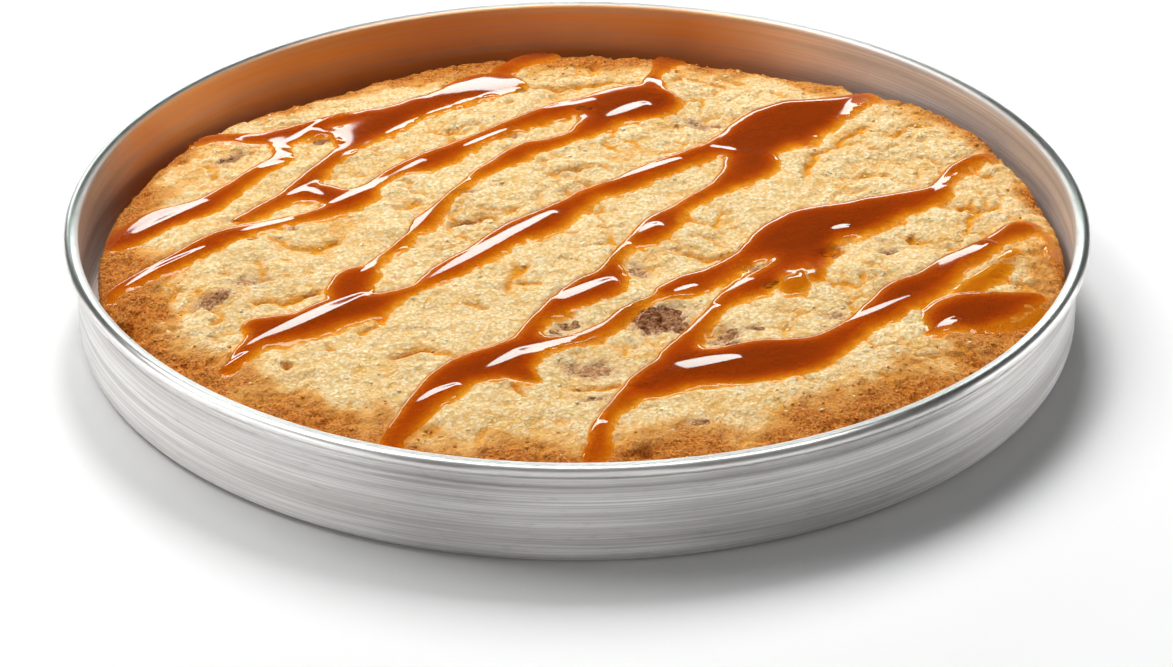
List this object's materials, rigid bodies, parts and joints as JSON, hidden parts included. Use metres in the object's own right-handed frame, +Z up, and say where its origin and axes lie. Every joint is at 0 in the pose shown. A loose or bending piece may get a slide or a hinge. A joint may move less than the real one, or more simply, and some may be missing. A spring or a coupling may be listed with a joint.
{
  "type": "skillet cookie",
  "caption": "Large round skillet cookie with embedded milk chocolate chips and a salted caramel drizzle, in its shallow straight-sided aluminium pan with a rolled rim.",
  "frame": {"origin": "middle of the pan's underside", "axes": "+Z up along the pan's turning axis; the side that the picture shows nearest faces -Y"},
  "size_m": [0.254, 0.254, 0.0265],
  "materials": {
    "aluminium": "spun and brushed round the wall, with fine scuffs, smooth on the rolled rim",
    "baked_dough": "matte baked crust, pale cream on top and golden at the shoulder",
    "caramel": "glossy, clear amber to deep brown with its thickness",
    "milk_chocolate": "soft satin, with a pale bloom"
  },
  "bodies": {
    "root": {"pan": "aluminium", "cookie": "baked_dough"}
  },
  "joints": []
}
